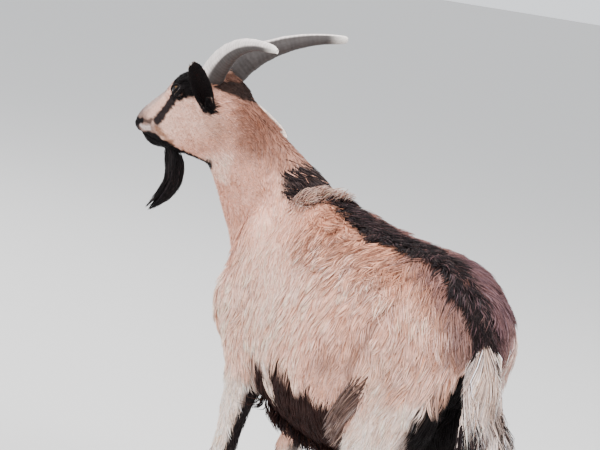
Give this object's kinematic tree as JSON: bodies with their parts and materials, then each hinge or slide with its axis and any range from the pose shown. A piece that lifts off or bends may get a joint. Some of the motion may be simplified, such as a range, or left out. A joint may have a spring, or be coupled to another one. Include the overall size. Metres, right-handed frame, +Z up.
{
  "type": "goat",
  "caption": "Life-size goat standing still with its head turned left: swept-back horns, beard, shaggy dark back stripe and cloven hooves on the floor.",
  "frame": {"origin": "under the middle of the bounding box, on the floor that the hooves stand on", "axes": "the goat faces -Y, its left side is towards +X, and +Z is up"},
  "size_m": [0.3792, 1.0716, 1.0099],
  "materials": {
    "coat": "matte",
    "dark_coat": "matte",
    "pale_coat": "matte",
    "horn_sheath": "satin",
    "claw_horn": "satin",
    "eyeball": "gloss"
  },
  "bodies": {
    "root": {"beard": "dark_coat", "claw_fore_left_inner": "claw_horn", "claw_fore_left_outer": "claw_horn", "claw_fore_right_inner": "claw_horn", "claw_fore_right_outer": "claw_horn", "claw_hind_left_inner": "claw_horn", "claw_hind_left_outer": "claw_horn", "claw_hind_right_inner": "claw_horn", "claw_hind_right_outer": "claw_horn", "ear_left": "dark_coat", "ear_right": "coat", "eye_left": "eyeball", "eye_right": "eyeball", "foreleg_left_lower": "coat", "foreleg_left_upper": "coat", "foreleg_right_lower": "coat", "foreleg_right_upper": "coat", "head": "coat", "hindleg_left_lower": "coat", "hindleg_left_upper": "coat", "hindleg_right_lower": "coat", "hindleg_right_upper": "coat", "horn_left": "horn_sheath", "horn_right": "horn_sheath", "neck": "coat", "tail": "pale_coat", "trunk": "coat"}
  },
  "joints": []
}
